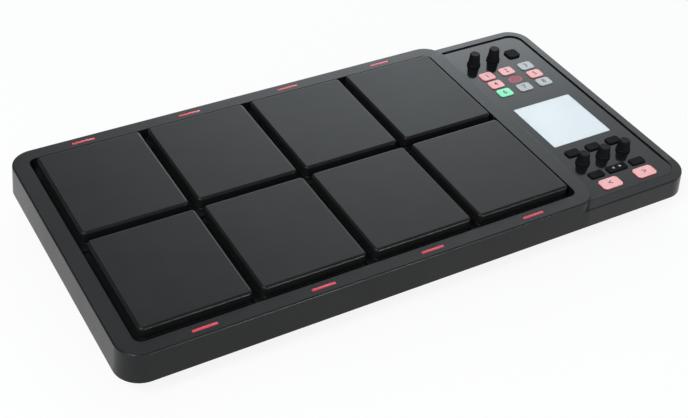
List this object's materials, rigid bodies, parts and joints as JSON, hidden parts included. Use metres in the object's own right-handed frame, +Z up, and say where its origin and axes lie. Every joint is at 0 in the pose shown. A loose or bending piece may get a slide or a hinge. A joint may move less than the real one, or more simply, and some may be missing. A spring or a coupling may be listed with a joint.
{
  "type": "electronic percussion pad",
  "caption": "Flat desk-top electronic percussion instrument with rubber playing pads in a raised frame and a lower control panel with keys, knobs and a square display.",
  "frame": {"origin": "middle of the footprint, on the surface that the feet stand on", "axes": "+X to the player's right, along the long side; +Y away from the player; +Z up"},
  "size_m": [0.5376, 0.2694, 0.0516],
  "materials": {
    "case_plastic": "fine-grained satin black moulding",
    "panel_plastic": "smooth semi-gloss black panel",
    "pad_rubber": "moulded rubber, satin",
    "foam": "closed-cell foam",
    "plate_steel": "zinc-plated steel",
    "brass": "turned brass",
    "lamp_red": "clear red lens",
    "window_clear": "clear acrylic",
    "display_white": "pale display glass",
    "circuit_board": "solder-masked board",
    "ribbon_grey": "flat cable",
    "socket_plastic": "moulded black",
    "foot_rubber": "soft rubber",
    "key_pink": "translucent silicone, pink",
    "key_mint": "translucent silicone, green",
    "key_grey": "translucent silicone, pale grey",
    "key_black": "satin black",
    "knob_black": "satin black"
  },
  "bodies": {
    "case": {"upper_case": "case_plastic", "control_deck": "case_plastic", "lower_case": "case_plastic", "control_panel": "panel_plastic", "rear_panel": "panel_plastic", "pad_chassis": "case_plastic", "pad_plates": "plate_steel", "pad_cushions": "foam", "trigger_sensors": "brass", "lamp_lenses": "lamp_red", "lamp_boards": "circuit_board", "lcd_window": "window_clear", "lcd_module": "display_white", "panel_board": "circuit_board", "main_board": "circuit_board", "panel_ribbon": "ribbon_grey", "key_switches": "socket_plastic", "rotary_controls": "socket_plastic", "jack_sockets": "socket_plastic", "midi_sockets": "socket_plastic", "usb_socket": "plate_steel", "dc_inlet": "socket_plastic", "feet": "foot_rubber", "screws": "plate_steel", "mount_inserts": "brass"},
    "pad_1": {"pad_1": "pad_rubber"},
    "pad_2": {"pad_2": "pad_rubber"},
    "pad_3": {"pad_3": "pad_rubber"},
    "pad_4": {"pad_4": "pad_rubber"},
    "pad_5": {"pad_5": "pad_rubber"},
    "pad_6": {"pad_6": "pad_rubber"},
    "pad_7": {"pad_7": "pad_rubber"},
    "pad_8": {"pad_8": "pad_rubber"},
    "mode_button_1": {"mode_button_1": "key_pink"},
    "mode_button_2": {"mode_button_2": "key_pink"},
    "mode_button_3": {"mode_button_3": "key_grey"},
    "mode_button_4": {"mode_button_4": "key_pink"},
    "mode_button_5": {"mode_button_5": "key_pink"},
    "mode_button_6": {"mode_button_6": "key_mint"},
    "mode_button_7": {"mode_button_7": "key_grey"},
    "mode_button_8": {"mode_button_8": "key_grey"},
    "function_button_1": {"function_button_1": "key_black"},
    "function_button_2": {"function_button_2": "key_black"},
    "function_button_3": {"function_button_3": "key_black"},
    "menu_button": {"menu_button": "key_black"},
    "page_button": {"page_button": "key_black"},
    "exit_button": {"exit_button": "key_black"},
    "kit_button_down": {"kit_button_down": "key_pink"},
    "kit_button_up": {"kit_button_up": "key_pink"},
    "power_button": {"power_button": "key_black"},
    "level_knob_1": {"level_knob_1": "knob_black", "level_shaft_1": "plate_steel"},
    "level_knob_2": {"level_knob_2": "knob_black", "level_shaft_2": "plate_steel"},
    "setting_knob_1": {"setting_knob_1": "knob_black", "setting_shaft_1": "plate_steel"},
    "setting_knob_2": {"setting_knob_2": "knob_black", "setting_shaft_2": "plate_steel"},
    "setting_knob_3": {"setting_knob_3": "knob_black", "setting_shaft_3": "plate_steel"}
  },
  "joints": [
    {"name": "pad_1_strike", "type": "slide", "parent": "case", "child": "pad_1", "axis": [0, 0, -1], "range_m": [0, 0.001], "stiffness_N_per_m": 20000, "springref_m": -0.0002, "deforming": ["pad_cushions"]},
    {"name": "pad_2_strike", "type": "slide", "parent": "case", "child": "pad_2", "axis": [0, 0, -1], "range_m": [0, 0.001], "stiffness_N_per_m": 20000, "springref_m": -0.0002, "deforming": ["pad_cushions"]},
    {"name": "pad_3_strike", "type": "slide", "parent": "case", "child": "pad_3", "axis": [0, 0, -1], "range_m": [0, 0.001], "stiffness_N_per_m": 20000, "springref_m": -0.0002, "deforming": ["pad_cushions"]},
    {"name": "pad_4_strike", "type": "slide", "parent": "case", "child": "pad_4", "axis": [0, 0, -1], "range_m": [0, 0.001], "stiffness_N_per_m": 20000, "springref_m": -0.0002, "deforming": ["pad_cushions"]},
    {"name": "pad_5_strike", "type": "slide", "parent": "case", "child": "pad_5", "axis": [0, 0, -1], "range_m": [0, 0.001], "stiffness_N_per_m": 20000, "springref_m": -0.0002, "deforming": ["pad_cushions"]},
    {"name": "pad_6_strike", "type": "slide", "parent": "case", "child": "pad_6", "axis": [0, 0, -1], "range_m": [0, 0.001], "stiffness_N_per_m": 20000, "springref_m": -0.0002, "deforming": ["pad_cushions"]},
    {"name": "pad_7_strike", "type": "slide", "parent": "case", "child": "pad_7", "axis": [0, 0, -1], "range_m": [0, 0.001], "stiffness_N_per_m": 20000, "springref_m": -0.0002, "deforming": ["pad_cushions"]},
    {"name": "pad_8_strike", "type": "slide", "parent": "case", "child": "pad_8", "axis": [0, 0, -1], "range_m": [0, 0.001], "stiffness_N_per_m": 20000, "springref_m": -0.0002, "deforming": ["pad_cushions"]},
    {"name": "mode_button_1_press", "type": "slide", "parent": "case", "child": "mode_button_1", "axis": [0, 0, -1], "range_m": [0, 0.0008], "stiffness_N_per_m": 800, "springref_m": -0.0005},
    {"name": "mode_button_2_press", "type": "slide", "parent": "case", "child": "mode_button_2", "axis": [0, 0, -1], "range_m": [0, 0.0008], "stiffness_N_per_m": 800, "springref_m": -0.0005},
    {"name": "mode_button_3_press", "type": "slide", "parent": "case", "child": "mode_button_3", "axis": [0, 0, -1], "range_m": [0, 0.0008], "stiffness_N_per_m": 800, "springref_m": -0.0005},
    {"name": "mode_button_4_press", "type": "slide", "parent": "case", "child": "mode_button_4", "axis": [0, 0, -1], "range_m": [0, 0.0008], "stiffness_N_per_m": 800, "springref_m": -0.0005},
    {"name": "mode_button_5_press", "type": "slide", "parent": "case", "child": "mode_button_5", "axis": [0, 0, -1], "range_m": [0, 0.0008], "stiffness_N_per_m": 800, "springref_m": -0.0005},
    {"name": "mode_button_6_press", "type": "slide", "parent": "case", "child": "mode_button_6", "axis": [0, 0, -1], "range_m": [0, 0.0008], "stiffness_N_per_m": 800, "springref_m": -0.0005},
    {"name": "mode_button_7_press", "type": "slide", "parent": "case", "child": "mode_button_7", "axis": [0, 0, -1], "range_m": [0, 0.0008], "stiffness_N_per_m": 800, "springref_m": -0.0005},
    {"name": "mode_button_8_press", "type": "slide", "parent": "case", "child": "mode_button_8", "axis": [0, 0, -1], "range_m": [0, 0.0008], "stiffness_N_per_m": 800, "springref_m": -0.0005},
    {"name": "function_button_1_press", "type": "slide", "parent": "case", "child": "function_button_1", "axis": [0, 0, -1], "range_m": [0, 0.0008], "stiffness_N_per_m": 800, "springref_m": -0.0005},
    {"name": "function_button_2_press", "type": "slide", "parent": "case", "child": "function_button_2", "axis": [0, 0, -1], "range_m": [0, 0.0008], "stiffness_N_per_m": 800, "springref_m": -0.0005},
    {"name": "function_button_3_press", "type": "slide", "parent": "case", "child": "function_button_3", "axis": [0, 0, -1], "range_m": [0, 0.0008], "stiffness_N_per_m": 800, "springref_m": -0.0005},
    {"name": "menu_button_press", "type": "slide", "parent": "case", "child": "menu_button", "axis": [0, 0, -1], "range_m": [0, 0.0008], "stiffness_N_per_m": 800, "springref_m": -0.0005},
    {"name": "page_button_press", "type": "slide", "parent": "case", "child": "page_button", "axis": [0, 0, -1], "range_m": [0, 0.0008], "stiffness_N_per_m": 800, "springref_m": -0.0005},
    {"name": "exit_button_press", "type": "slide", "parent": "case", "child": "exit_button", "axis": [0, 0, -1], "range_m": [0, 0.0008], "stiffness_N_per_m": 800, "springref_m": -0.0005},
    {"name": "kit_button_down_press", "type": "slide", "parent": "case", "child": "kit_button_down", "axis": [0, 0, -1], "range_m": [0, 0.0008], "stiffness_N_per_m": 800, "springref_m": -0.0005},
    {"name": "kit_button_up_press", "type": "slide", "parent": "case", "child": "kit_button_up", "axis": [0, 0, -1], "range_m": [0, 0.0008], "stiffness_N_per_m": 800, "springref_m": -0.0005},
    {"name": "power_button_press", "type": "slide", "parent": "case", "child": "power_button", "axis": [0, 0, -1], "range_m": [0, 0.0008], "stiffness_N_per_m": 800, "springref_m": -0.0005},
    {"name": "level_knob_1_turn", "type": "hinge", "parent": "case", "child": "level_knob_1", "pos_m": [0.18837, 0.0956, 0.0376], "axis": [0, 0, 1], "range_deg": [-140, 140]},
    {"name": "level_knob_2_turn", "type": "hinge", "parent": "case", "child": "level_knob_2", "pos_m": [0.21138, 0.0956, 0.0376], "axis": [0, 0, 1], "range_deg": [-140, 140]},
    {"name": "setting_knob_1_turn", "type": "hinge", "parent": "case", "child": "setting_knob_1", "pos_m": [0.18837, -0.0776, 0.0376], "axis": [0, 0, 1], "continuous": true},
    {"name": "setting_knob_2_turn", "type": "hinge", "parent": "case", "child": "setting_knob_2", "pos_m": [0.21138, -0.0776, 0.0376], "axis": [0, 0, 1], "continuous": true},
    {"name": "setting_knob_3_turn", "type": "hinge", "parent": "case", "child": "setting_knob_3", "pos_m": [0.23438, -0.0776, 0.0376], "axis": [0, 0, 1], "continuous": true}
  ]
}
